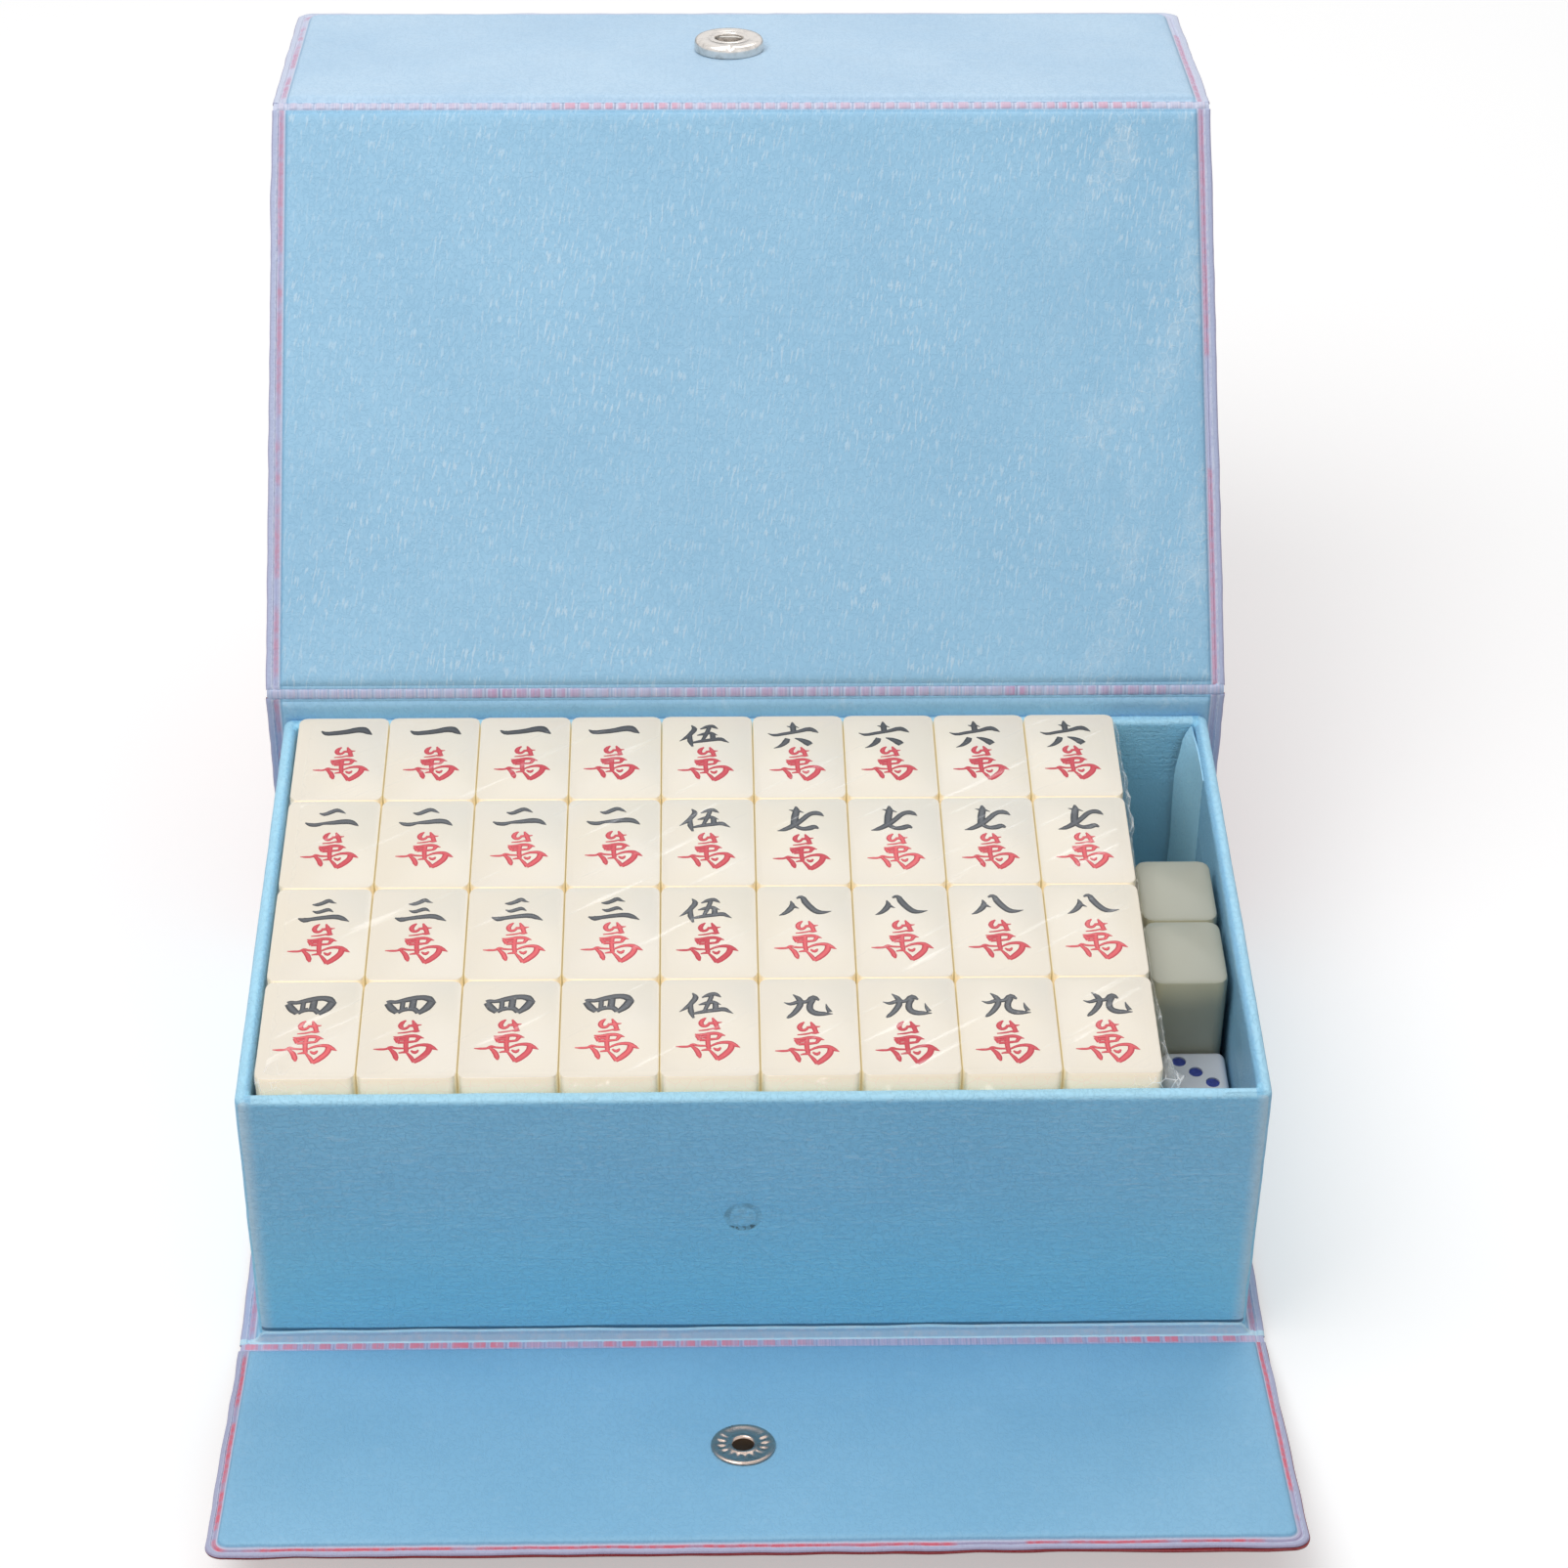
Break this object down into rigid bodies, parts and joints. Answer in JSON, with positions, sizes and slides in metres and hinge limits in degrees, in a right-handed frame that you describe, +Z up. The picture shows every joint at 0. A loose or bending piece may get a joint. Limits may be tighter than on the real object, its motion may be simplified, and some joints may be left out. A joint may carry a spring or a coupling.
{
  "type": "mini mahjong set",
  "caption": "Pocket tile game in a stiff open tray inside a wrap-round soft case with folding lid, front flap and snap, tiles in clear film.",
  "frame": {"origin": "on the table, at the underside of the case's base panel, below the middle of the tray", "axes": "+X right, +Y to the back where the lid folds, +Z up"},
  "size_m": [0.1598, 0.2703, 0.1263],
  "materials": {
    "leathercloth_red": "satin",
    "leathercloth_blue": "satin",
    "welded_fold": "satin",
    "greyboard": "matte",
    "tray_lining": "satin",
    "nickel_steel": "polished",
    "spring_steel": "satin",
    "tile_cream": "gloss",
    "spare_tile_white": "gloss",
    "die_white": "gloss",
    "clear_film": "gloss"
  },
  "bodies": {
    "tray_and_base": {"base_outer_skin": "leathercloth_red", "base_board": "greyboard", "base_lining": "leathercloth_blue", "spine_outer_skin": "leathercloth_red", "spine_board": "greyboard", "spine_lining": "leathercloth_blue", "front_fold_weld": "welded_fold", "rear_fold_weld": "welded_fold", "lid_fold_weld": "welded_fold", "tray_floor_board": "greyboard", "tray_front_board": "greyboard", "tray_back_board": "greyboard", "tray_left_board": "greyboard", "tray_right_board": "greyboard", "tray_wrap": "leathercloth_blue", "tray_liner": "tray_lining"},
    "front_flap": {"front_flap_outer_skin": "leathercloth_red", "front_flap_board": "greyboard", "front_flap_lining": "leathercloth_blue", "snap_post": "nickel_steel", "snap_stud": "nickel_steel"},
    "lid": {"lid_outer_skin": "leathercloth_red", "lid_board": "greyboard", "lid_lining": "leathercloth_blue", "flap_fold_weld": "welded_fold"},
    "lid_flap": {"lid_flap_outer_skin": "leathercloth_red", "lid_flap_board": "greyboard", "lid_flap_lining": "leathercloth_blue", "snap_socket": "nickel_steel", "snap_spring": "spring_steel", "snap_cap": "nickel_steel"},
    "spare_tiles": {"spare_tiles": "spare_tile_white"},
    "dice": {"dice": "die_white"},
    "tile_pack_1": {"pack_1_tile_row_1": "tile_cream", "pack_1_tile_row_2": "tile_cream", "pack_1_tile_row_3": "tile_cream", "pack_1_tile_row_4": "tile_cream", "pack_1_film": "clear_film"},
    "tile_pack_2": {"pack_2_tile_row_1": "tile_cream", "pack_2_tile_row_2": "tile_cream", "pack_2_tile_row_3": "tile_cream", "pack_2_tile_row_4": "tile_cream", "pack_2_film": "clear_film"},
    "tile_pack_3": {"pack_3_tile_row_1": "tile_cream", "pack_3_tile_row_2": "tile_cream", "pack_3_tile_row_3": "tile_cream", "pack_3_tile_row_4": "tile_cream", "pack_3_film": "clear_film"},
    "tile_pack_4": {"pack_4_tile_row_1": "tile_cream", "pack_4_tile_row_2": "tile_cream", "pack_4_tile_row_3": "tile_cream", "pack_4_tile_row_4": "tile_cream", "pack_4_film": "clear_film"}
  },
  "joints": [
    {"name": "front_fold", "type": "hinge", "parent": "tray_and_base", "child": "front_flap", "pos_m": [0, -0.0484, 0.00115], "axis": [1, 0, 0], "range_deg": [-79.2, 5.65]},
    {"name": "lid_fold", "type": "hinge", "parent": "tray_and_base", "child": "lid", "pos_m": [0, 0.04785, 0.056], "axis": [-1, 0, 0], "range_deg": [-136.6, 43.4]},
    {"name": "flap_fold", "type": "hinge", "parent": "lid", "child": "lid_flap", "pos_m": [0, 0.12142, 0.12557], "axis": [-1, 0, 0], "range_deg": [-143.4, 36.6]},
    {"name": "pack_1_lift", "type": "slide", "parent": "tray_and_base", "child": "tile_pack_1", "axis": [0, 0, 1], "range_m": [0, 0.05]},
    {"name": "pack_2_lift", "type": "slide", "parent": "tile_pack_1", "child": "tile_pack_2", "axis": [0, 0, 1], "range_m": [0, 0.036]},
    {"name": "pack_3_lift", "type": "slide", "parent": "tile_pack_2", "child": "tile_pack_3", "axis": [0, 0, 1], "range_m": [0, 0.025]},
    {"name": "pack_4_lift", "type": "slide", "parent": "tile_pack_3", "child": "tile_pack_4", "axis": [0, 0, 1], "range_m": [0, 0.02]},
    {"name": "spare_tiles_lift", "type": "slide", "parent": "tray_and_base", "child": "spare_tiles", "axis": [0, 0, 1], "range_m": [0, 0.05]},
    {"name": "dice_lift", "type": "slide", "parent": "tray_and_base", "child": "dice", "axis": [0, 0, 1], "range_m": [0, 0.05]}
  ]
}
